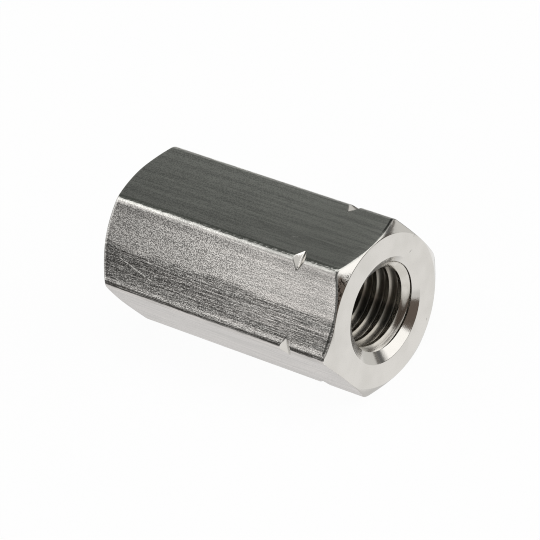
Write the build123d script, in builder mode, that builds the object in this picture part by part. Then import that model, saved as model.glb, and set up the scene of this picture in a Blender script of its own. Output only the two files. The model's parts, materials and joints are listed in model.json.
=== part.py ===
from build123d import *
import math
import os

# Long hexagonal coupling nut, millimetres.
# The bore axis runs along X, one flat faces down on z = 0 and one faces up.
# The corner marks are near the +X end. The origin is under the middle of the lower flat.

# Hexagon bar
across_flats = 13.0
length = 24.0
bar_corner_radius = 0.75

# Turned chamfer at both ends: the circle it leaves on the end face, and its slope from that face
end_face_diameter = 12.85
end_chamfer_angle = 32.0

# Tapped bore: the hole drilled for the thread, and the countersink at each mouth
tapping_hole_diameter = 6.8
countersink_diameter = 9.0
countersink_angle = 110.0

# Mark groove turned across the six corners: its place from the marked end,
# the radius and width of its narrow floor, and the angle between its sides
mark_distance_from_end = 4.5
mark_floor_radius = 7.05
mark_floor_width = 0.16
mark_angle = 108.0

# How far the turning profiles reach past the bar's corners
tool_overrun = 1.0

# Sizes that follow from those above
axis_height = across_flats / 2
half_length = length / 2
across_corners = across_flats / math.cos(math.radians(30))
tool_radius = across_corners / 2 + tool_overrun
end_face_radius = end_face_diameter / 2
chamfer_depth = (tool_radius - end_face_radius) * math.tan(math.radians(end_chamfer_angle))
mark_x = half_length - mark_distance_from_end
mark_half_floor = mark_floor_width / 2
mark_half_mouth = mark_half_floor + (tool_radius - mark_floor_radius) * math.tan(math.radians(mark_angle / 2))

# The bore axis, the plane of its lengthwise profiles, and the two end faces looking outwards
bore_axis = Axis((0, 0, axis_height), (1, 0, 0))
turning_plane = Plane(origin=(0, 0, axis_height), x_dir=(1, 0, 0), z_dir=(0, -1, 0))
plain_end = Plane(origin=(-half_length, 0, axis_height), x_dir=(0, 1, 0), z_dir=(-1, 0, 0))
marked_end = Plane(origin=(half_length, 0, axis_height), x_dir=(0, 1, 0), z_dir=(1, 0, 0))

with BuildPart() as coupling_nut:
    # Drawn hexagon bar with softly rounded corners, two of them level with the bore
    with BuildSketch(marked_end) as bar_section:
        RegularPolygon(radius=across_flats / 2, side_count=6, major_radius=False)
        fillet(bar_section.vertices(), radius=bar_corner_radius)
    extrude(amount=-length)

    # Both ends turned to a cone, which leaves an arc on every flat
    with BuildSketch(turning_plane) as turned_outline:
        with BuildLine():
            Polyline(
                (-half_length, 0),
                (-half_length, end_face_radius),
                (chamfer_depth - half_length, tool_radius),
                (half_length - chamfer_depth, tool_radius),
                (half_length, end_face_radius),
                (half_length, 0),
                close=True,
            )
        make_face()
    revolve(axis=bore_axis, mode=Mode.INTERSECT)

    # Mark groove, deep enough to cross the corners and too shallow to reach the middle of a flat
    with BuildSketch(turning_plane) as mark_section:
        with BuildLine():
            Polyline(
                (mark_x - mark_half_floor, mark_floor_radius),
                (mark_x + mark_half_floor, mark_floor_radius),
                (mark_x + mark_half_mouth, tool_radius),
                (mark_x - mark_half_mouth, tool_radius),
                close=True,
            )
        make_face()
    revolve(axis=bore_axis, mode=Mode.SUBTRACT)

    # Through bore, countersunk from both end faces
    with Locations(plain_end, marked_end):
        CounterSinkHole(
            radius=tapping_hole_diameter / 2,
            counter_sink_radius=countersink_diameter / 2,
            counter_sink_angle=countersink_angle,
        )

coupling_nut.part.label = "coupling_nut"

os.makedirs("parts", exist_ok=True)
export_step(coupling_nut.part, "parts/coupling_nut.step")
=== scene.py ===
import json
import math

import bpy
import numpy as np
from mathutils import Matrix, Vector


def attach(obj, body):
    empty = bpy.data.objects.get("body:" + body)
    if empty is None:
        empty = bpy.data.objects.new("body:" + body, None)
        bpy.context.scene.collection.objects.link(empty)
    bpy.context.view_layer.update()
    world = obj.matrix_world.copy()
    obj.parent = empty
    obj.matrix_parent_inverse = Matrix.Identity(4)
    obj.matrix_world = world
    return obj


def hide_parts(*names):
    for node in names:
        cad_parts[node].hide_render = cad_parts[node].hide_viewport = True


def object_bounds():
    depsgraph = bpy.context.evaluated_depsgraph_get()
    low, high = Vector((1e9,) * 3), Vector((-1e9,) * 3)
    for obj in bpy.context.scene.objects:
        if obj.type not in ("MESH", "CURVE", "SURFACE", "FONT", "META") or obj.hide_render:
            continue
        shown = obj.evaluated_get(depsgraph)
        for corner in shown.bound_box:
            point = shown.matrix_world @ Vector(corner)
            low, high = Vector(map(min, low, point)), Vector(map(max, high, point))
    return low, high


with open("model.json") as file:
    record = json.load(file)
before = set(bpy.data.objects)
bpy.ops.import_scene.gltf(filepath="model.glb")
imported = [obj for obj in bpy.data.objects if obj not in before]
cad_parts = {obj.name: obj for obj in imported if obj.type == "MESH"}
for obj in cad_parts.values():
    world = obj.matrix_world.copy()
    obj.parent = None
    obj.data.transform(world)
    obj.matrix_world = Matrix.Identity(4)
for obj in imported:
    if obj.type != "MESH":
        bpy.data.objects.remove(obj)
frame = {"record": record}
cad_low, cad_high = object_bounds()

MM = 0.001

# The hexagon has a corner every sixth of a turn
SECTOR = math.pi / 3
HALF_SECTOR = math.pi / 6

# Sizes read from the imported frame, in metres
half_length = (cad_high.x - cad_low.x) / 2
across_flats = cad_high.z - cad_low.z
flat_radius = across_flats / 2
axis_height = flat_radius
thread_mount = next(m for m in frame["record"]["mounts"] if m["name"] == "through_thread")
minor_radius = thread_mount["dims"]["r_mm"] * MM
countersink_depth = half_length - thread_mount["dims"]["length_mm"] * MM / 2

# Details of the bar: drawn corners, turned ends, and a mark turned across the corners
corner_radius = 0.75 * MM
corner_centre = (flat_radius - corner_radius) / math.cos(HALF_SECTOR)
end_face_radius = 6.425 * MM
end_chamfer_slope = math.tan(math.radians(32))
mouth_radius = 4.5 * MM
mark_x = half_length - 4.5 * MM
mark_floor_radius = 7.05 * MM
mark_half_floor = 0.08 * MM
mark_least_side = 0.01 * MM
mark_side_slope = math.tan(math.radians(54))

# Thread: right-hand, its crest centre this far from the marked end at the +Y side
pitch = 1.25 * MM
major_radius = 4.0 * MM
flank_slope = math.tan(math.radians(30))
crest_offset = 1.15 * MM
root_half_flat = 0.11 * MM

# How much the turned edges and the mark are broken, and where a broken rim meets its countersink
edge_break = 0.05 * MM
flat_edge_break = 0.09 * MM
mark_edge_break = 0.05 * MM
rim_radius = mouth_radius - edge_break
rim_x = half_length - edge_break * countersink_depth / (mouth_radius - minor_radius)

# Fineness of the mesh round the bore axis
CORNER_COLUMNS = 11
COLUMNS_BEFORE_TIP = 5
COLUMNS_AFTER_TIP = 7
TIP_STEP = math.radians(0.6)

# Fineness of the mesh along the bore axis
BREAK_ROWS = 4
MOST_BREAK_SHARE = 0.4
ROW_SPACING = 0.9 * MM
MOST_ROWS = 24

# Rows of the thread beside the edges of a crest and of a root, in shares of a pitch
CREST_EDGE_ROWS = (-0.02, 0.02, 0.10, 0.19)
ROOT_EDGE_ROWS = (-0.015, 0.02)
SPARE_TURNS = 2

# Points closer than this are one point, and edges sharper than this are drawn sharp
SAME_POINT = 2e-8
SHARP_ANGLE = math.radians(36)

# Stretches of the outside profile that are bar or mark, and the material of each surface
BAR_STRETCHES = (3, 7)
MARK_STRETCHES = (4, 5, 6)
DRAWN, TURNED, TAPPED = 0, 1, 2


def hexagon_radius(angle):
    """Distance from the bore axis to the bar's rounded hexagon, for polar angles from +Y towards +Z."""
    from_corner = (angle + HALF_SECTOR) % SECTOR - HALF_SECTOR
    tangent = math.atan2(corner_radius / 2, corner_centre + corner_radius * math.cos(HALF_SECTOR))
    on_flat = flat_radius / np.cos(HALF_SECTOR - np.abs(from_corner))
    inside = np.maximum(corner_radius ** 2 - (corner_centre * np.sin(from_corner)) ** 2, 0)
    on_arc = corner_centre * np.cos(from_corner) + np.sqrt(inside)
    return np.where(np.abs(from_corner) < tangent, on_arc, on_flat)


def column_angles():
    """Polar angles of the mesh columns: close together round the corners and the tips of the mark."""
    corner = []
    for degrees in np.linspace(-30, 30, CORNER_COLUMNS):
        turn = math.radians(degrees)
        across = corner_radius * math.sin(turn)
        outward = corner_centre + corner_radius * math.cos(turn)
        corner.append(math.atan2(across, outward))
    tip = HALF_SECTOR - math.acos(flat_radius / mark_floor_radius)
    near_tip = [tip - TIP_STEP, tip, tip + TIP_STEP]
    before = list(np.linspace(corner[-1], near_tip[0], COLUMNS_BEFORE_TIP + 2)[1:-1])
    after = list(np.linspace(near_tip[-1], HALF_SECTOR, COLUMNS_AFTER_TIP + 1)[1:])
    half = before + near_tip + after
    sector = [-a for a in half[::-1][1:]] + corner + half
    return np.array([math.radians(60 * k) + a for k in range(6) for a in sector])


angles = np.sort(column_angles() % (2 * math.pi))
hexagon = hexagon_radius(angles)
columns = len(angles)


def rounded_profile(points, breaks):
    """Polyline (rows, columns, 2) of x and radius with its inner points broken by small curves.
    Returns the new rows and the index of the stretch that each new row starts."""
    rows = [points[0]]
    stretch = [0]
    for k in range(1, len(points) - 1):
        before = points[k] - points[k - 1]
        after = points[k + 1] - points[k]
        length_before = np.linalg.norm(before, axis=1, keepdims=True)
        length_after = np.linalg.norm(after, axis=1, keepdims=True)
        reach = np.minimum(breaks[k], MOST_BREAK_SHARE * np.minimum(length_before, length_after))
        start = points[k] - before / length_before * reach
        end = points[k] + after / length_after * reach
        for t in np.linspace(0, 1, BREAK_ROWS):
            rows.append((1 - t) ** 2 * start + 2 * t * (1 - t) * points[k] + t ** 2 * end)
            stretch.append(k - 1 if t < 0.5 else k)
    rows.append(points[-1])
    stretch.append(len(points) - 2)
    return np.array(rows), stretch


def filled(points, stretch):
    """Adds even rows inside long stretches, so that no quad is much longer than the spacing."""
    rows = [points[0]]
    kinds = []
    for k in range(1, len(points)):
        length = np.linalg.norm(points[k] - points[k - 1], axis=1).max()
        parts = int(min(max(1, math.ceil(length / ROW_SPACING)), MOST_ROWS))
        for t in range(1, parts + 1):
            rows.append(points[k - 1] + (points[k] - points[k - 1]) * t / parts)
            kinds.append(stretch[k - 1])
    return np.array(rows), kinds


def outside_profile():
    """Rows over the outside, from the broken rim of the plain mouth to that of the marked mouth,
    and the stretch that follows each row."""
    ones = np.ones(columns)
    face = end_face_radius * ones
    cone_reach = (hexagon - end_face_radius) * end_chamfer_slope
    depth = np.maximum(hexagon - mark_floor_radius, 0)
    floor = hexagon - depth
    half_mark = mark_half_floor + np.maximum(depth * mark_side_slope, mark_least_side)
    keys = [
        (-rim_x * ones, rim_radius * ones),
        (-half_length * ones, mouth_radius * ones),
        (-half_length * ones, face),
        (cone_reach - half_length, hexagon),
        (mark_x - half_mark, hexagon),
        (mark_x - mark_half_floor * ones, floor),
        (mark_x + mark_half_floor * ones, floor),
        (mark_x + half_mark, hexagon),
        (half_length - cone_reach, hexagon),
        (half_length * ones, face),
        (half_length * ones, mouth_radius * ones),
        (rim_x * ones, rim_radius * ones),
    ]
    end_breaks = [0, edge_break, edge_break, flat_edge_break]
    breaks = end_breaks + 4 * [mark_edge_break] + end_breaks[::-1]
    points = np.array([np.stack(pair, axis=1) for pair in keys])
    return filled(*rounded_profile(points, breaks))


def thread_radius(turn):
    """Radius of the threaded wall for a place within one pitch, 0 at the middle of a crest."""
    from_root = (0.5 - np.abs(turn)) * pitch
    return np.clip(major_radius - (from_root - root_half_flat) / flank_slope, minor_radius, major_radius)


def cone_radius(x):
    """Radius of the countersink cones at a place along the bore axis."""
    slope = (mouth_radius - minor_radius) / countersink_depth
    return mouth_radius - (half_length - np.abs(x)) * slope


def bore_grid():
    """Rows of the bore that follow the helix: their x, the threaded wall's radius there, and the number of
    rows in one turn."""
    crest_edge = 0.5 - (root_half_flat + (major_radius - minor_radius) * flank_slope) / pitch
    root_edge = 0.5 - root_half_flat / pitch
    half = [crest_edge + step for step in CREST_EDGE_ROWS] + [root_edge + step for step in ROOT_EDGE_ROWS]
    places = np.array([-0.5] + [-u for u in half[::-1]] + [0.0] + half)
    turns = int(math.ceil(2 * half_length / pitch)) + 2 * SPARE_TURNS + 1
    first = -math.ceil(half_length / pitch) - SPARE_TURNS
    crest = half_length - crest_offset + pitch * angles / (2 * math.pi)
    crest = crest - pitch * round(half_length / pitch)
    turn_index = np.repeat(np.arange(first, first + turns), len(places))
    place = np.tile(places, turns)
    x = crest[None, :] + pitch * (turn_index + place)[:, None]
    wall = np.repeat(thread_radius(place)[:, None], columns, axis=1)
    return np.clip(x, -rim_x, rim_x), wall, len(places)


def polar_points(x, radius, angle):
    """Points in the frame for a place along the bore axis, a distance from it and a polar angle."""
    x, radius, angle = np.broadcast_arrays(x, radius, angle)
    return np.stack([x, radius * np.cos(angle), radius * np.sin(angle) + axis_height], axis=-1).reshape(-1, 3)


class Bore:
    """Faces of the helical bore, split exactly where the thread runs out into the countersinks.
    Its points are numbered from the given base on."""

    def __init__(self, base):
        self.x, self.wall, self.per_turn = bore_grid()
        self.gap = self.wall - cone_radius(self.x)
        self.rows = len(self.x)
        self.base = base
        self.points = list(polar_points(self.x, np.maximum(self.wall, cone_radius(self.x)), angles[None, :]))
        self.crossings = {}
        self.faces = []
        self.finish = []

    def crossing(self, a, b):
        """Index of the point where the thread meets the cone between two grid points."""
        key = (min(a, b), max(a, b))
        if key not in self.crossings:
            a, b = key
            share = self.gap[a] / (self.gap[a] - self.gap[b])
            x = self.x[a] + share * (self.x[b] - self.x[a])
            turn = (angles[b[1]] - angles[a[1]] + math.pi) % (2 * math.pi) - math.pi
            self.crossings[key] = self.base + len(self.points)
            self.points.extend(polar_points(x, cone_radius(x), angles[a[1]] + share * turn))
        return self.crossings[key]

    def keep(self, corners, tapped):
        """Adds a face, which is thread or countersink."""
        self.faces.append(tuple(corners))
        self.finish.append(TAPPED if tapped else TURNED)

    def index(self, corner):
        """Number of a grid point in the whole mesh."""
        return self.base + corner[0] * columns + corner[1]

    def split(self, corners):
        """Adds a polygon, or its two parts where it lies across the line."""
        signs = [self.gap[c] > 0 for c in corners]
        if len(set(signs)) == 1:
            self.keep([self.index(c) for c in corners], signs[0])
            return
        parts = {True: [], False: []}
        for k, corner in enumerate(corners):
            following = (k + 1) % len(corners)
            parts[signs[k]].append(self.index(corner))
            if signs[k] != signs[following]:
                meet = self.crossing(corner, corners[following])
                parts[True].append(meet)
                parts[False].append(meet)
        for tapped, part in parts.items():
            self.keep(part, tapped)

    def build(self):
        """Adds every face of the grid. The last column joins the first one a whole turn further on."""
        for j in range(self.rows - 1):
            for i in range(columns):
                step = 0 if i + 1 < columns else self.per_turn
                n = (i + 1) % columns
                if j + 1 + step >= self.rows:
                    continue
                corners = [(j, i), (j + 1, i), (j + 1 + step, n), (j + step, n)]
                if len({bool(self.gap[c] > 0) for c in corners}) == 1:
                    self.split(corners)
                else:
                    self.split(corners[:3])
                    self.split([corners[0], corners[2], corners[3]])


def build_nut():
    """The whole nut as one closed mesh: the outside rows, then the helical bore joined on at both rims."""
    outside, kinds = outside_profile()
    points = list(polar_points(outside[:, :, 0], outside[:, :, 1], angles[None, :]))
    faces = []
    finish = []
    cut = hexagon > mark_floor_radius
    for j in range(len(outside) - 1):
        for i in range(columns):
            n = (i + 1) % columns
            faces.append((j * columns + i, j * columns + n, (j + 1) * columns + n, (j + 1) * columns + i))
            if kinds[j] in BAR_STRETCHES or (kinds[j] in MARK_STRETCHES and not (cut[i] or cut[n])):
                finish.append(DRAWN)
            else:
                finish.append(TURNED)
    bore = Bore(len(points))
    bore.build()
    return np.array(points + bore.points), faces + bore.faces, finish + bore.finish


def welded_mesh(name, points, faces, finish):
    """Mesh with points closer than a hair joined, and the faces that vanish with them left out."""
    keys = np.round(points / SAME_POINT).astype(np.int64)
    _, first, inverse = np.unique(keys, axis=0, return_index=True, return_inverse=True)
    inverse = inverse.ravel()
    kept_faces = []
    kept_finish = []
    for face, kind in zip(faces, finish):
        corners = []
        for v in inverse[list(face)]:
            if not corners or corners[-1] != v:
                corners.append(int(v))
        if corners[0] == corners[-1]:
            corners.pop()
        if len(corners) >= 3:
            kept_faces.append(corners)
            kept_finish.append(kind)
    mesh = bpy.data.meshes.new(name)
    mesh.from_pydata(points[first].tolist(), [], kept_faces)
    mesh.validate()
    mesh.polygons.foreach_set("material_index", kept_finish[:len(mesh.polygons)])
    mesh.polygons.foreach_set("use_smooth", [True] * len(mesh.polygons))
    mesh.set_sharp_from_angle(angle=SHARP_ANGLE)
    mesh.update()
    return mesh


def new_material(name):
    """Material with an empty node tree."""
    material = bpy.data.materials.new(name)
    material.use_nodes = True
    material.node_tree.nodes.clear()
    return material


class Nodes:
    """Short ways to add nodes to a tree. A value is another node's socket, or a plain number or vector."""

    def __init__(self, tree):
        self.tree = tree

    def plug(self, value, socket):
        """Links a socket to a value's socket, or sets it to a plain value."""
        if isinstance(value, bpy.types.NodeSocket):
            self.tree.links.new(value, socket)
        else:
            socket.default_value = value

    def node(self, kind, inputs):
        """New node with values for its named or numbered inputs."""
        made = self.tree.nodes.new(kind)
        for name, value in inputs.items():
            self.plug(value, made.inputs[name])
        return made

    def maths(self, operation, *values, clamp=False):
        """Result of a Math node, which may be kept between 0 and 1."""
        made = self.node("ShaderNodeMath", dict(enumerate(values)))
        made.operation = operation
        made.use_clamp = clamp
        return made.outputs[0]

    def vectors(self, operation, *values):
        """Result of a Vector Math node: a number for a dot product or a distance, or else a vector."""
        made = self.tree.nodes.new("ShaderNodeVectorMath")
        made.operation = operation
        sockets = [made.inputs[0], made.inputs["Scale"]] if operation == "SCALE" else made.inputs
        for socket, value in zip(sockets, values):
            self.plug(value, socket)
        return made.outputs["Value" if operation in ("DOT_PRODUCT", "DISTANCE") else "Vector"]

    def separated(self, vector):
        """The three parts of a vector."""
        return self.node("ShaderNodeSeparateXYZ", {0: vector}).outputs

    def total(self, *values):
        """Sum of several (value, weight) pairs."""
        result = 0.0
        for value, weight in values:
            result = self.maths("MULTIPLY_ADD", value, weight, result)
        return result

    def product(self, first, *others):
        """Product of several values."""
        for value in others:
            first = self.maths("MULTIPLY", first, value)
        return first

    def most(self, first, *others):
        """Largest of several values."""
        for value in others:
            first = self.maths("MAXIMUM", first, value)
        return first

    def without(self, mask, share=1.0):
        """1 where a mask is 0, and less by a share where it is 1."""
        return self.total((mask, -share), (1.0, 1.0))

    def ramp(self, value, start, end):
        """Straight rise of a value from 0 at the start to 1 at the end, which may lie below the start."""
        return self.maths("MULTIPLY_ADD", value, 1 / (end - start), -start / (end - start), clamp=True)

    def remap(self, value, low, high, out_low=0.0, out_high=1.0):
        """Smooth step of a value from one range to another. The first range may run downwards."""
        if low > high:
            low, high, out_low, out_high = high, low, out_high, out_low
        limits = {"From Min": low, "From Max": high, "To Min": out_low, "To Max": out_high}
        made = self.node("ShaderNodeMapRange", {"Value": value, **limits})
        made.interpolation_type = "SMOOTHSTEP"
        return made.outputs["Result"]

    def within(self, cosine, inner, outer):
        """Mask that is 1 where an angle, given by its cosine, is within the inner limit and 0 beyond the
        outer one, both in degrees."""
        return self.remap(cosine, math.cos(math.radians(outer)), math.cos(math.radians(inner)))

    def colours(self, share, first, second):
        """Blend of two colours by a share."""
        made = self.tree.nodes.new("ShaderNodeMix")
        made.data_type = "RGBA"
        self.plug(share, made.inputs["Factor"])
        for name, value in (("A_Color", first), ("B_Color", second)):
            socket = next(s for s in made.inputs if s.identifier == name)
            self.plug(value if isinstance(value, bpy.types.NodeSocket) else (*value, 1.0), socket)
        return next(s for s in made.outputs if s.type == "RGBA")

    def layered(self, colour, *layers):
        """A colour with layers over it, the lowest first. A layer is a mask, its strength and its colour."""
        for mask, strength, paint in layers:
            colour = self.colours(self.product(mask, strength), colour, paint)
        return colour


class Surface(Nodes):
    """Nodes of one of the nut's bare metals, with the place of the shaded point: x, y and z in the frame,
    its height over the bore axis and its distance from that axis."""

    # Limits of the end edges' dark lines, which are painted shade: the upper half of the nut, without the
    # front part of the top flat; and the colour of these lines
    UPPER_HALF_Z = (6.9 * MM, 7.1 * MM)
    BELOW_TOP_Z = (12.98 * MM, 12.88 * MM)
    TOP_BACK_Y = (1.2 * MM, 2.4 * MM)
    DARK_LINE = (0.07, 0.07, 0.065)

    def __init__(self, name):
        self.material = new_material(name)
        super().__init__(self.material.node_tree)
        self.point = self.tree.nodes.new("ShaderNodeTexCoord").outputs["Object"]
        self.x, self.y, self.z = self.separated(self.point)
        self.up = self.maths("SUBTRACT", self.z, axis_height)
        across = self.maths("MULTIPLY", self.y, self.y)
        self.from_axis = self.maths("SQRT", self.maths("MULTIPLY_ADD", self.up, self.up, across))

    def noise(self, sizes, detail=2.0, roughness=0.5, vector=None):
        """Noise whose features have the given sizes in millimetres along x, y and z, or along the parts
        of another vector."""
        scaled = self.vectors("MULTIPLY", vector or self.point, tuple(1 / (size * MM) for size in sizes))
        inputs = {"Vector": scaled, "Scale": 1.0, "Detail": detail, "Roughness": roughness}
        return self.node("ShaderNodeTexNoise", inputs).outputs["Fac"]

    def even_noise(self, size, detail=2.0, roughness=0.5, vector=None):
        """Noise with features of one size, in millimetres, in every direction."""
        return self.noise((size, size, size), detail, roughness, vector)

    def combined(self, first, second):
        """Vector whose first two parts are given."""
        return self.node("ShaderNodeCombineXYZ", {"X": first, "Y": second}).outputs[0]

    def toward(self, degrees, inner, outer):
        """Mask of the places round the bore axis that lie toward a polar angle from +Y, in degrees."""
        turn = math.radians(degrees)
        along = self.total((self.y, math.cos(turn)), (self.up, math.sin(turn)))
        return self.within(self.maths("DIVIDE", along, self.from_axis), inner, outer)

    def scratch(self, start, end, width):
        """Mask of a thin line between two points of the surface, all in millimetres."""
        start = Vector(start) * MM
        along = Vector(end) * MM - start
        offset = self.vectors("SUBTRACT", self.point, tuple(start))
        share = self.vectors("DOT_PRODUCT", offset, tuple(along / along.length_squared))
        between_ends = self.maths("MULTIPLY", share, 1.0, clamp=True)
        nearest = self.vectors("SCALE", tuple(along), between_ends)
        distance = self.vectors("DISTANCE", offset, nearest)
        return self.remap(distance, width * MM, 0.0)

    def off_top_front(self):
        """Mask that leaves out the front part of the top flat."""
        return self.most(self.remap(self.z, *self.BELOW_TOP_Z), self.remap(self.y, *self.TOP_BACK_Y))

    def finish(self, colour, roughness, height):
        """Bare metal from its colour, its roughness and a relief in millimetres."""
        bump = self.node("ShaderNodeBump", {"Strength": 1.0, "Distance": MM, "Height": height})
        shader = self.node("ShaderNodeBsdfPrincipled", {
            "Metallic": 1.0, "Base Color": colour, "Roughness": roughness, "Normal": bump.outputs["Normal"]})
        self.node("ShaderNodeOutputMaterial", {"Surface": shader.outputs[0]})


class DrawnSteel(Surface):
    """Bar flats: a fine pitted grain and lengthwise drawing streaks. The lower half of an upper flat is worn
    by rubbing, with dark streaks in it and painted shade over it, and leans down a little, and the bar's
    corners are worn smooth.
    Painted shade also darkens the flats toward both ends, toward the front of the top flat and in a strip
    beside the upper corners, and painted dark lines and a painted highlight lie beside the chamfers."""

    # Limits between which a mask rises from 0 to 1: on the two upper flats, called flanks, by the height
    # off their middle, at the worn corners by the distance from the bore axis, and by the height elsewhere
    FLANK_SPAN = (3.4 * MM, 3.0 * MM)
    FLANK_BORDER = (3.24 * MM, 3.15 * MM)
    WORN_RADIUS = (7.27 * MM, 7.35 * MM)
    TOP_FLAT_Z = (12.7 * MM, 12.9 * MM)
    LOWER_FLATS_Z = (6.3 * MM, 6.0 * MM)

    # Where the painted shade grows along or across the nut, and how much of the brightness it takes
    PLAIN_END_X = (5.0 * MM, -12.0 * MM)
    PLAIN_END_LOSS = 0.45
    TOP_FRONT_Y = (3.5 * MM, -3.5 * MM)
    TOP_FRONT_LOSS = 0.16
    MARKED_END_X = (0.0, 9.0 * MM)
    MARKED_END_LOSS = 0.16
    TOP_MARKED_END_X = (-9.0 * MM, 9.0 * MM)
    TOP_MARKED_END_LOSS = 0.12
    BAND_END_X = (1.0 * MM, 8.0 * MM)
    BAND_LOSS = 0.16

    # The narrow strip of painted shade beside the worn corners: its two sides, where it grows stronger, and
    # its lower end
    STRIP_OUTER_RADIUS = (7.372 * MM, 7.352 * MM)
    STRIP_INNER_RADIUS = (6.95 * MM, 7.12 * MM)
    STRIP_STRONG_RADIUS = (7.30 * MM, 7.34 * MM)
    STRIP_Z = (9.0 * MM, 10.0 * MM)

    # Painted lines beside the chamfers, by their distance from the chamfer's edge: painted shade at the
    # marked end and a painted highlight at the plain end; and the height below which the marked end's line
    # lies further in
    END_LINE_INNER = (0.30 * MM, 0.22 * MM)
    END_LINE_OUTER = (-0.05 * MM, 0.14 * MM)
    END_LINE_SHIFT = 0.14 * MM
    END_LINE_LOW_Z = (10.0 * MM, 8.5 * MM)
    PLAIN_LINE_INNER = (0.30 * MM, 0.18 * MM)

    # The painted dark reflection along the corner low on the upper flats, and how ragged it and the marked
    # end's line are
    CORNER_SHADE_LOW_Z = (6.61 * MM, 6.69 * MM)
    CORNER_SHADE_HIGH_Z = (7.05 * MM, 6.95 * MM)
    CORNER_SHADE_SHIFT = 0.08 * MM
    RAGGED = 0.16 * MM

    # The band that leans down: heights of its borders and widths in millimetres, and slopes
    BAND_TOP = 11.05
    BAND_TOP_FALL = 0.025
    BAND_WIDTH = 2.1
    BAND_SLOPE = -0.078
    BAND_FOOT = 6.96
    FOOT_WIDTH = 0.6
    FOOT_SLOPE = 0.10

    # Colours of the clean metal, of the dirt in its streaks and of its bright spots, and of the painted
    # highlight
    FLANK_TINT = (1.0, 0.950, 0.913)
    TOP_TINT = (1.0, 1.0, 0.93)
    DULL = (0.42, 0.415, 0.40)
    DARK_STREAK = (0.22, 0.22, 0.21)
    DARK_DASH = (0.12, 0.12, 0.115)
    PIT = (0.18, 0.175, 0.168)
    BRIGHT = (1.0, 0.98, 0.94)
    EDGE_HIGHLIGHT = (1.0, 0.98, 0.95)

    # Heights of the relief in millimetres, the last of them that of the flats' crown
    GRAIN_HEIGHT = 0.014
    STREAK_HEIGHT = 0.006
    DASH_HEIGHT = 0.024
    DENT_HEIGHT = 0.022
    SCRATCH_HEIGHT = 0.004
    CROWN = 0.012

    ROUGHNESS = 0.285

    def __init__(self):
        super().__init__("drawn_steel")
        self.grain = self.noise((0.12, 0.11, 0.11), 1.0)
        self.pits = self.noise((0.092, 0.082, 0.082), 0.0)
        self.streaks = self.noise((6.0, 0.22, 0.22), 3.0, 0.6)
        self.dashes = self.noise((0.55, 0.13, 0.13), 2.0, 0.6)
        self.lines = self.noise((3.5, 0.13, 0.13), 2.0, 0.6)
        self.bands = self.noise((14.0, 0.45, 0.45))
        self.off_flank = self.maths("ABSOLUTE", self.maths("SUBTRACT", self.up, axis_height / 2))
        self.upper_flats = self.remap(self.off_flank, *self.FLANK_SPAN)
        self.worn_edge = self.remap(self.from_axis, *self.WORN_RADIUS)
        self.on_top = self.remap(self.z, *self.TOP_FLAT_Z)
        self.chamfer_reach = self.most(self.maths("SUBTRACT", self.from_axis, end_face_radius), 0.0)
        self.rubbed, self.lean = self.rubbed_band()
        self.marks = self.scratches()
        roughness = self.total((self.worn_edge, -0.12), (self.marks, 0.1), (1.0, self.ROUGHNESS))
        self.finish(self.colour(), roughness, self.relief())

    def rubbed_band(self):
        """Mask of the band on the upper flats that is worn by rubbing and darkened with painted shade, and
        its relief. It starts at a ragged line along the middle of a flat, leans down from there, and turns
        back just above the corner below."""
        broad = self.noise((9.0, 1.3, 1.3))
        clouds = self.noise((2.5, 1.6, 1.6))
        place = [(self.z, 1 / MM), (self.x, self.BAND_TOP_FALL / MM)]
        level = self.total(*place, (broad, 1.4), (self.streaks, 0.9), (clouds, 0.7))
        below = self.most(self.maths("SUBTRACT", self.BAND_TOP, level), 0.0)
        past = self.most(self.total((self.streaks, 0.5), (self.z, -1 / MM), (1.0, self.BAND_FOOT)), 0.0)
        fall = (self.maths("MINIMUM", below, self.BAND_WIDTH), self.BAND_SLOPE)
        rise = (self.maths("MINIMUM", past, self.FOOT_WIDTH), self.FOOT_SLOPE)
        foot = self.remap(past, 0.0, 0.08, 1.0, 0.35)
        rubbed = self.product(self.remap(below, 0.0, 0.25), foot, self.upper_flats)
        return rubbed, self.total(fall, rise)

    def scratches(self):
        """Two long scratches on the front flat and a short one on the top flat, broken up by the grain."""
        marks = self.most(
            self.scratch((-10.26, -6.16, 8.84), (-6.65, -6.68, 7.94), 0.09),
            self.product(self.scratch((-7.60, -5.20, 10.49), (-7.15, -6.05, 9.02), 0.09), 0.6),
            self.scratch((5.35, -1.75, 13.00), (5.75, -1.55, 13.00), 0.07))
        return self.product(marks, self.remap(self.grain, 0.40, 0.56, 0.15, 1.0))

    def chamfer_edge(self, side):
        """Where along x the chamfer at the marked end (side 1) or the plain end (side -1) meets the flats."""
        return self.maths("MULTIPLY_ADD", self.chamfer_reach, -side * end_chamfer_slope, side * half_length)

    def dark_lines(self):
        """Painted shade: a dark line just inside the marked end's chamfer, and a painted dark reflection
        along the corner low on the upper flats.
        """
        low_part = self.remap(self.z, *self.END_LINE_LOW_Z)
        from_end = self.maths("SUBTRACT", self.chamfer_edge(1), self.x)
        from_end = self.total((self.dashes, self.RAGGED), (low_part, -self.END_LINE_SHIFT), (from_end, 1.0))
        end_line = self.product(
            self.remap(from_end, *self.END_LINE_INNER),
            self.remap(from_end, *self.END_LINE_OUTER),
            self.remap(self.z, *self.UPPER_HALF_Z),
            self.off_top_front())
        corner_shade_z = self.total(
            (self.dashes, self.RAGGED), (self.pits, self.RAGGED), (self.z, 1.0), (1.0, -self.CORNER_SHADE_SHIFT))
        corner_shade = self.product(self.remap(corner_shade_z, *self.CORNER_SHADE_LOW_Z), self.remap(corner_shade_z, *self.CORNER_SHADE_HIGH_Z))
        return self.most(end_line, self.product(corner_shade, 0.62))

    def plain_end_highlight(self):
        """The painted highlight: a light line just inside the plain end's chamfer."""
        from_end = self.total((self.dashes, 0.10 * MM), (self.x, 1.0), (self.chamfer_edge(-1), -1.0))
        return self.product(self.remap(from_end, *self.PLAIN_LINE_INNER), self.upper_flats)

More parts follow.
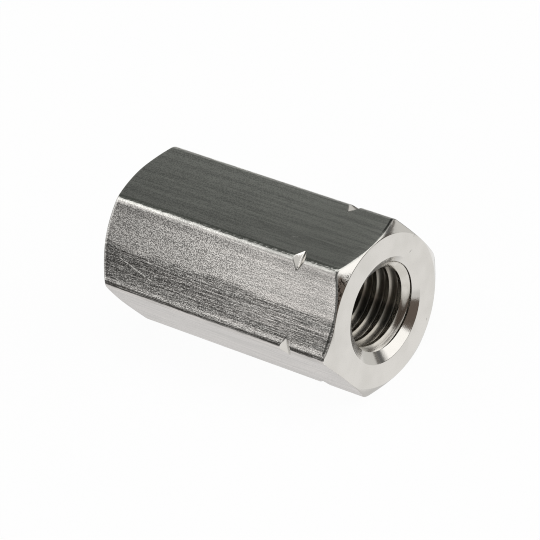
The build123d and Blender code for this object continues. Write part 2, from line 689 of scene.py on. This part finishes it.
    def shade(self):
        """Share of its brightness that the metal keeps under painted shade: toward the plain end, toward the
        front of the top flat, in a strip beside the upper corners, toward the marked end, and on the band low
        on the upper flats.
        """
        plain_end = self.product(self.ramp(self.x, *self.PLAIN_END_X), self.upper_flats)
        plain_end = self.product(plain_end, self.without(self.worn_edge), self.PLAIN_END_LOSS)
        top_front = self.product(self.ramp(self.y, *self.TOP_FRONT_Y), self.on_top, self.TOP_FRONT_LOSS)
        strip = self.product(
            self.remap(self.off_flank, *self.FLANK_BORDER),
            self.remap(self.from_axis, *self.STRIP_OUTER_RADIUS),
            self.remap(self.from_axis, *self.STRIP_INNER_RADIUS),
            self.remap(self.from_axis, *self.STRIP_STRONG_RADIUS, 0.20, 0.36),
            self.remap(self.z, *self.STRIP_Z))
        marked_loss = self.total((self.rubbed, -0.10), (1.0, self.MARKED_END_LOSS))
        marked_end = self.product(self.remap(self.x, *self.MARKED_END_X), self.upper_flats, marked_loss)
        top_end = self.remap(self.x, *self.TOP_MARKED_END_X)
        top_end = self.product(top_end, self.on_top, self.TOP_MARKED_END_LOSS)
        # Painted shade on the band low on the upper flats, weaker toward the marked end
        band = self.product(self.rubbed, self.remap(self.x, *self.BAND_END_X, 1.0, 0.45))
        losses = [(loss, -1.0) for loss in (plain_end, top_front, strip, marked_end, top_end)]
        return self.total(*losses, (band, -self.BAND_LOSS), (1.0, 1.0))

    def drawing(self):
        """How far the drawing streaks dull the metal: fine lines and broad bands along the bar, light lines
        on the top flat, and less contrast on the lower flats."""
        toward_back = self.remap(self.y, 0.5 * MM, 2.6 * MM, 0.6, 1.0)
        line_share = self.total((self.product(self.on_top, toward_back), -0.26), (1.0, 0.40))
        band_share = self.total((self.on_top, 0.05), (1.0, 0.25))
        lines = self.product(self.remap(self.lines, 0.38, 0.62), line_share)
        bands = self.product(self.remap(self.bands, 0.38, 0.62), band_share)
        drawing = self.total((lines, 1.0), (bands, 1.0))
        long_lines = self.noise((9.0, 0.24, 0.24))
        light_lines = self.product(self.remap(long_lines, 0.52, 0.62), self.on_top, -0.14)
        drawing = self.total((drawing, 1.0), (light_lines, 1.0))
        to_middle = self.total((0.325, 1.0), (drawing, -1.0))
        flattened = self.product(self.remap(self.z, *self.LOWER_FLATS_Z), to_middle)
        return self.total((drawing, 1.0), (flattened, 0.5))

    def pit_strength(self):
        """Contrast of the pitted grain: strong on the upper flats, weaker on corners and the marked end."""
        upper = self.total((self.upper_flats, 0.90), (1.0, 0.07))
        strength = self.product(upper, self.without(self.worn_edge, 0.45))
        return self.product(strength, self.remap(self.x, -3.0 * MM, 8.0 * MM, 1.0, 0.52))

    def colour(self):
        """Colour of the metal: its tint, then streaks, pits and bright spots, the painted shade, and the
        painted lines.
        """
        tint = self.colours(self.on_top, self.FLANK_TINT, self.TOP_TINT)
        colour = self.colours(self.drawing(), tint, self.DULL)
        pit_strength = self.pit_strength()
        dark_streaks = self.product(self.rubbed, self.remap(self.streaks, 0.42, 0.60))
        dark_dashes = self.product(self.rubbed, self.remap(self.dashes, 0.50, 0.62))
        dark_pits = self.product(self.remap(self.pits, 0.58, 0.38), pit_strength)
        bright_grains = self.product(self.remap(self.pits, 0.50, 0.62), pit_strength)
        light_lines = self.product(self.remap(self.lines, 0.66, 0.74), self.remap(self.bands, 0.50, 0.60))
        specks = self.product(self.remap(self.dashes, 0.66, 0.74), self.without(self.upper_flats))
        colour = self.layered(
            colour,
            (dark_streaks, 0.55, self.DARK_STREAK),
            (dark_dashes, 0.70, self.DARK_DASH),
            (dark_pits, 0.85, self.PIT),
            (bright_grains, 0.75, self.BRIGHT),
            (light_lines, 0.5, self.BRIGHT),
            (specks, 0.5, self.BRIGHT))
        # Painted shade: the colour is scaled by the share of brightness that the flats keep
        colour = self.colours(self.marks, self.vectors("SCALE", colour, self.shade()), self.BRIGHT)
        return self.layered(
            colour,
            # Painted highlight beside the plain end's chamfer
            (self.plain_end_highlight(), 0.6, self.EDGE_HIGHLIGHT),
            # Painted shade and painted dark reflection beside the marked end's chamfer and along the low
            # corner
            (self.dark_lines(), 0.9, self.DARK_LINE))

    def relief(self):
        """Relief in millimetres: grain, drawing streaks, dents in the worn corners, scratches, the crown
        of the flats, which turns their edges a little away, and the lean of the rubbed band."""
        corner_reach = flat_radius * math.tan(HALF_SECTOR)
        off_middle = self.maths("SUBTRACT", self.product(self.from_axis, self.from_axis), flat_radius ** 2)
        crown = self.product(off_middle, -self.CROWN / corner_reach ** 2)
        grain = self.product(self.grain, self.without(self.worn_edge, 0.75), self.without(self.on_top, 0.8))
        grain = self.product(grain, self.GRAIN_HEIGHT)
        streaks = self.total((self.streaks, self.STREAK_HEIGHT), (self.dashes, self.DASH_HEIGHT))
        streaks = self.product(streaks, self.total((self.rubbed, 0.85), (self.on_top, -0.08), (1.0, 0.15)))
        waves = self.noise((0.5, 0.3, 0.3), 1.0)
        dents = self.product(self.maths("SUBTRACT", waves, 0.5), self.worn_edge, self.DENT_HEIGHT)
        return self.total(
            (grain, 1.0), (streaks, 1.0), (dents, 1.0),
            (self.marks, self.SCRATCH_HEIGHT), (crown, 1.0), (self.lean, 1.0))


class TurnedSteel(Surface):
    """Turned faces, chamfers, countersinks and mark: fine rings round the bore, and a few nicks. Painted
    shade darkens the rims by the upper flats, blotches of painted dark reflection lie on the marked end's
    chamfer, and a painted sheen lightens one side of each countersink.
    """

    # Colours of the clean and the clouded metal, of its nicks, of the painted dark reflection and of the
    # painted sheen
    CLEAN = (0.68, 0.658, 0.622)
    CLOUDED = (0.63, 0.61, 0.573)
    NICK = (0.25, 0.24, 0.23)
    DARK_REFLECTION = (0.06, 0.055, 0.05)
    SHEEN = (1.0, 0.98, 0.95)
    ROUGHNESS = 0.07

    # The rim of painted shade where a chamfer meets a flat, by its reach toward the flat and its distance
    # from the bore axis
    RIM_REACH = (flat_radius - 0.09 * MM, flat_radius - 0.04 * MM)
    RIM_RADIUS = (6.45 * MM, 6.6 * MM)

    # The rougher side of a countersink with a painted sheen: its direction in degrees, and where its cone
    # ends
    SHEEN_SIDE = 135
    CONE_RADIUS = (4.53 * MM, 4.47 * MM)

    # The stretch of the marked end's chamfer with blotches of painted dark reflection, which ends below the
    # corner and fades out further down
    BLOTCHES_TOP_Z = (12.55 * MM, 12.25 * MM)
    BLOTCHES_FOOT_Z = (9.6 * MM, 11.2 * MM)
    BLOTCHES_Y = (-2.6 * MM, -3.0 * MM)
    BLOTCHES_X = (0.0, 1.0 * MM)
    BLOTCHES_RADIUS = (6.45 * MM, 6.55 * MM)

    def __init__(self):
        super().__init__("turned_steel")
        rings = self.even_noise(0.12, 3.0, 0.6, self.combined(self.from_axis, self.x))
        grain = self.even_noise(0.12, 2.0, 0.6)
        nicks = self.most(
            self.scratch((12.0, 4.05, 9.50), (12.0, 4.25, 9.55), 0.08),
            self.scratch((12.0, 4.88, 10.50), (12.0, 4.95, 10.65), 0.08),
            self.scratch((12.0, 4.35, 2.30), (12.0, 4.40, 2.42), 0.07))
        on_cone = self.remap(self.from_axis, *self.CONE_RADIUS)
        # Painted sheen: one side of each countersink is lighter, and it is also rougher
        rough_sheen = self.product(on_cone, self.toward(self.SHEEN_SIDE, 60, 80))
        colour = self.colours(self.remap(self.even_noise(2.4), 0.35, 0.7), self.CLEAN, self.CLOUDED)
        colour = self.layered(
            colour,
            (nicks, 0.6, self.NICK),
            # Painted shade along the rims by the upper flats
            (self.rim(), 0.7, self.DARK_LINE),
            # Painted sheen on one side of each countersink
            (rough_sheen, 0.55, self.SHEEN),
            # Painted dark reflection in blotches on the chamfer beside the upper front corner
            (self.dark_reflection_blotches(), 0.9, self.DARK_REFLECTION))
        roughness = self.total((rings, 0.06), (rough_sheen, 0.20), (1.0, self.ROUGHNESS))
        height = self.total((rings, 0.002), (grain, 0.002), (nicks, -0.01))
        self.finish(colour, roughness, height)

    def rim(self):
        """The thin dark line of painted shade where the chamfers meet the upper flats."""
        slant = math.cos(HALF_SECTOR)
        toward_flat = self.most(
            self.maths("ABSOLUTE", self.up),
            self.maths("ABSOLUTE", self.total((self.up, 0.5), (self.y, slant))),
            self.maths("ABSOLUTE", self.total((self.up, 0.5), (self.y, -slant))))
        return self.product(
            self.remap(toward_flat, *self.RIM_REACH),
            self.remap(self.z, *self.UPPER_HALF_Z),
            self.remap(self.from_axis, *self.RIM_RADIUS),
            self.off_top_front())

    def dark_reflection_blotches(self):
        """Blotches of painted dark reflection in the marked end's chamfer, beside the upper front corner."""
        return self.product(
            self.remap(self.z, *self.BLOTCHES_TOP_Z),
            self.remap(self.z, *self.BLOTCHES_FOOT_Z),
            self.remap(self.y, *self.BLOTCHES_Y),
            self.remap(self.x, *self.BLOTCHES_X),
            self.remap(self.from_axis, *self.BLOTCHES_RADIUS),
            self.remap(self.even_noise(0.16, 1.0), 0.50, 0.56))


class TappedSteel(Surface):
    """Thread: smooth, with fine cutting marks that follow the helix, and painted shade that darkens it away
    from the mouths and on one side.
    """

    # Colours of the clean and the clouded metal, of darker streaks on its first turn, and of the painted
    # shade deep in the bore and on its dimmest side
    CLEAN = (0.66, 0.635, 0.585)
    CLOUDED = (0.58, 0.555, 0.505)
    FIRST_TURN_DARK = (0.20, 0.18, 0.16)
    DEEP_SHADE = (0.39, 0.365, 0.32)
    DIM_SHADE = (0.13, 0.125, 0.11)
    ROUGHNESS = 0.13

    # Where painted shade darkens the thread: depth inside a mouth, and the direction of its dimmest side in
    # degrees
    DEEP_INSIDE = (0.9 * MM, 1.9 * MM)
    DIM_SIDE = -53

    # The first turn, darker in streaks low in the mouth: its height over the bore axis and its place across
    # it
    FIRST_TURN_UP = (-1.0 * MM, -2.4 * MM)
    FIRST_TURN_Y = (-1.5 * MM, 0.5 * MM)

    # Where the thread's run-out is rougher, at the top and at the front of the bore
    RUN_OUT_UP = (2.9 * MM, 3.3 * MM)
    RUN_OUT_Y = (-3.6 * MM, -3.8 * MM)

    def __init__(self):
        super().__init__("tapped_steel")
        turn = self.maths("ARCTAN2", self.up, self.y)
        along = self.maths("SUBTRACT", self.x, self.maths("MULTIPLY", turn, pitch / (2 * math.pi)))
        lines = self.even_noise(0.07, 2.0, 0.6, self.combined(along, self.from_axis))
        fine = self.even_noise(0.12, 2.0, 0.6)
        inside = self.maths("SUBTRACT", half_length, self.maths("ABSOLUTE", self.x))
        deep = self.remap(inside, *self.DEEP_INSIDE)
        first_turn = self.product(self.maths("SUBTRACT", 1.0, deep), self.remap(self.up, *self.FIRST_TURN_UP))
        first_turn = self.product(first_turn, self.remap(self.y, *self.FIRST_TURN_Y))
        first_turn_streaks = self.product(first_turn, self.remap(lines, 0.35, 0.65, 0.3, 0.8))
        dim_shade = self.product(self.toward(self.DIM_SIDE, 8, 19), deep)
        colour = self.colours(self.remap(self.even_noise(0.9), 0.35, 0.7), self.CLEAN, self.CLOUDED)
        colour = self.colours(first_turn_streaks, colour, self.FIRST_TURN_DARK)
        # Painted shade: the thread turns darker away from the mouths
        colour = self.colours(deep, colour, self.DEEP_SHADE)
        # Painted shade on the thread's dimmest side, deep in the bore
        colour = self.layered(colour, (dim_shade, 0.8, self.DIM_SHADE))
        run_out = self.most(self.remap(self.up, *self.RUN_OUT_UP), self.remap(self.y, *self.RUN_OUT_Y))
        roughness = self.total((fine, 0.06), (deep, 0.15), (run_out, 0.15), (1.0, self.ROUGHNESS))
        height = self.total((lines, 0.003), (fine, 0.003))
        self.finish(colour, roughness, height)


nut = bpy.data.objects.new("threaded_nut", welded_mesh("threaded_nut", *build_nut()))
bpy.context.scene.collection.objects.link(nut)
for surface in (DrawnSteel(), TurnedSteel(), TappedSteel()):
    nut.data.materials.append(surface.material)
even = nut.modifiers.new("even_normals", "WEIGHTED_NORMAL")
even.keep_sharp = True
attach(nut, "root")
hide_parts("coupling_nut")

nut_centre = Vector((0, 0, axis_height))

# Camera: long lens, looking down on the marked end and rolled a little
CAMERA_BACK = (0.5760, -0.5515, 0.6034)
CAMERA_RIGHT = (0.7723, 0.6090, -0.1807)
CAMERA_DISTANCE = 26.2255 * across_flats
CAMERA_SIDE_STEP = 0.00996 * across_flats
FOCAL_PIXELS = 4221.7
IMAGE_PIXELS = 540
SENSOR_WIDTH = 36.0
CLIP_START = 0.01
CLIP_END = 20.0

# Studio: the floor's half size, how white it looks to the camera, and its paint
FLOOR_REACH = 1.5
FLOOR_GLOW_SHARE = 0.95
FLOOR_PAINT = (0.92, 0.92, 0.92, 1)

WHITE = (1.0, 1.0, 1.0)


def studio_camera():
    """Camera that looks at the nut's centre, which it has a little to the left of the image's middle."""
    back = Vector(CAMERA_BACK).normalized()
    right = Vector(CAMERA_RIGHT).normalized()
    data = bpy.data.cameras.new("camera")
    data.sensor_width = SENSOR_WIDTH
    data.lens = SENSOR_WIDTH * FOCAL_PIXELS / IMAGE_PIXELS
    data.clip_start = CLIP_START
    data.clip_end = CLIP_END
    camera = bpy.data.objects.new("camera", data)
    bpy.context.scene.collection.objects.link(camera)
    place = nut_centre + back * CAMERA_DISTANCE + right * CAMERA_SIDE_STEP
    turn = Matrix((right, back.cross(right), back)).transposed()
    camera.matrix_world = Matrix.Translation(place) @ turn.to_4x4()
    bpy.context.scene.camera = camera


def studio_floor():
    """Pale floor that the camera sees white, with the nut's shadow. Reflections look past it to the
    surroundings."""
    corners = [(-1, -1), (1, -1), (1, 1), (-1, 1)]
    mesh = bpy.data.meshes.new("floor")
    mesh.from_pydata([(x * FLOOR_REACH, y * FLOOR_REACH, 0) for x, y in corners], [], [(0, 1, 2, 3)])
    floor = bpy.data.objects.new("floor", mesh)
    bpy.context.scene.collection.objects.link(floor)
    material = new_material("pale_floor")
    nodes = Nodes(material.node_tree)
    rays = nodes.node("ShaderNodeLightPath", {}).outputs
    paint = nodes.node("ShaderNodeBsdfDiffuse", {"Color": FLOOR_PAINT}).outputs[0]
    glow = nodes.node("ShaderNodeEmission", {"Strength": 1.0}).outputs[0]
    clear = nodes.node("ShaderNodeBsdfTransparent", {}).outputs[0]
    glow_share = nodes.product(rays["Is Camera Ray"], FLOOR_GLOW_SHARE)
    seen = nodes.node("ShaderNodeMixShader", {0: glow_share, 1: paint, 2: glow}).outputs[0]
    shown = nodes.node("ShaderNodeMixShader", {0: rays["Is Glossy Ray"], 1: seen, 2: clear}).outputs[0]
    nodes.node("ShaderNodeOutputMaterial", {"Surface": shown})
    mesh.materials.append(material)


def direction(azimuth, elevation):
    """Unit vector from an azimuth, from +X towards +Y, and an elevation, in degrees."""
    around = math.radians(azimuth)
    above = math.radians(elevation)
    return math.cos(above) * math.cos(around), math.cos(above) * math.sin(around), math.sin(above)


def height_at(elevation):
    """Height of a unit vector at an elevation in degrees."""
    return math.sin(math.radians(elevation))


def grey(level):
    """Neutral colour of one level."""
    return level, level, level


def studio_world():
    """Soft surroundings: a pale room over a white table, with brighter walls and soft boxes, dark cards
    behind the nut and above it, and dim stretches along the horizon."""
    world = bpy.data.worlds.new("studio")
    bpy.context.scene.world = world
    world.use_nodes = True
    world.node_tree.nodes.clear()
    nodes = Nodes(world.node_tree)
    facing = nodes.node("ShaderNodeTexCoord", {}).outputs["Generated"]
    rise = nodes.separated(facing)["Z"]

    def disc(azimuth, elevation, inner, outer):
        """Mask that is 1 within the inner angle of a direction and 0 beyond the outer one."""
        near = nodes.vectors("DOT_PRODUCT", facing, direction(azimuth, elevation))
        return nodes.within(near, inner, outer)

    def belt(start, low, high, end):
        """Mask that is 1 between two elevations and fades out at the limits before and after them."""
        above = nodes.remap(rise, height_at(start), height_at(low))
        below = nodes.remap(rise, height_at(end), height_at(high))
        return nodes.product(above, below)

    def stretch(elevations, azimuth, inner, outer):
        """Part of a belt, within the inner angle of an azimuth at the horizon."""
        return nodes.product(belt(*elevations), disc(azimuth, 0, inner, outer))

    table = nodes.remap(rise, height_at(-18), height_at(-26))
    seen = nodes.colours(table, (0.78, 0.78, 0.77), WHITE)
    patches = [
        # The light wall and the soft box to the front, and the table's dull part
        (disc(-127, 16, 16, 26), (1.14, 1.14, 1.13)),
        (disc(-150, 45, 10, 15), grey(1.35)),
        (disc(180, -55, 40, 50), grey(0.70)),
        # The dark cards behind the nut
        (disc(146, 40, 27, 39), (0.14, 0.147, 0.142)),
        (disc(160, 52, 6, 30), (0.07, 0.075, 0.07)),
        (disc(100, 48, 22, 32), (0.12, 0.125, 0.12)),
        (disc(126, 8, 10, 16), grey(0.30)),
        # The soft box at the marked end and the dark card overhead
        (disc(26, 30, 22, 30), grey(1.48)),
        (disc(-90, 75, 14, 26), grey(0.08)),
        # The dim room along the horizon
        (belt(-2, 0.5, 3, 5.5), (0.19, 0.18, 0.17)),
        (stretch((-18, -12, 5, 8), 25, 26, 32), (0.10, 0.088, 0.08)),
        (stretch((-14, -9, 15.5, 18.5), -30, 34, 38), (0.150, 0.122, 0.105)),
        (stretch((-28, -21, 4.0, 9.5), -103, 46, 54), (0.13, 0.125, 0.12)),
        (disc(55.5, 6.5, 2.5, 6), grey(0.15)),
    ]
    for mask, colour in patches:
        seen = nodes.colours(mask, seen, colour)
    rays = nodes.node("ShaderNodeLightPath", {}).outputs
    seen = nodes.colours(rays["Is Camera Ray"], seen, WHITE)
    background = nodes.node("ShaderNodeBackground", {"Color": seen})
    nodes.node("ShaderNodeOutputWorld", {"Surface": background.outputs[0]})


def soft_lamp(name, place, size, power):
    """Square lamp that faces the nut and that the camera doesn't see."""
    data = bpy.data.lights.new(name, "AREA")
    data.shape = "SQUARE"
    data.size = size
    data.energy = power
    lamp = bpy.data.objects.new(name, data)
    bpy.context.scene.collection.objects.link(lamp)
    lamp.location = place
    lamp.rotation_mode = "QUATERNION"
    lamp.rotation_quaternion = (nut_centre - Vector(place)).to_track_quat("-Z", "Y")
    lamp.visible_camera = False


studio_camera()
studio_floor()
studio_world()
soft_lamp("overhead_lamp", place=(0.02, 0.02, 0.50), size=0.50, power=1.0)
bpy.context.scene.view_settings.view_transform = "Standard"
bpy.context.scene.cycles.denoising_prefilter = "NONE"
bpy.context.scene.cycles.filter_width = 1.05
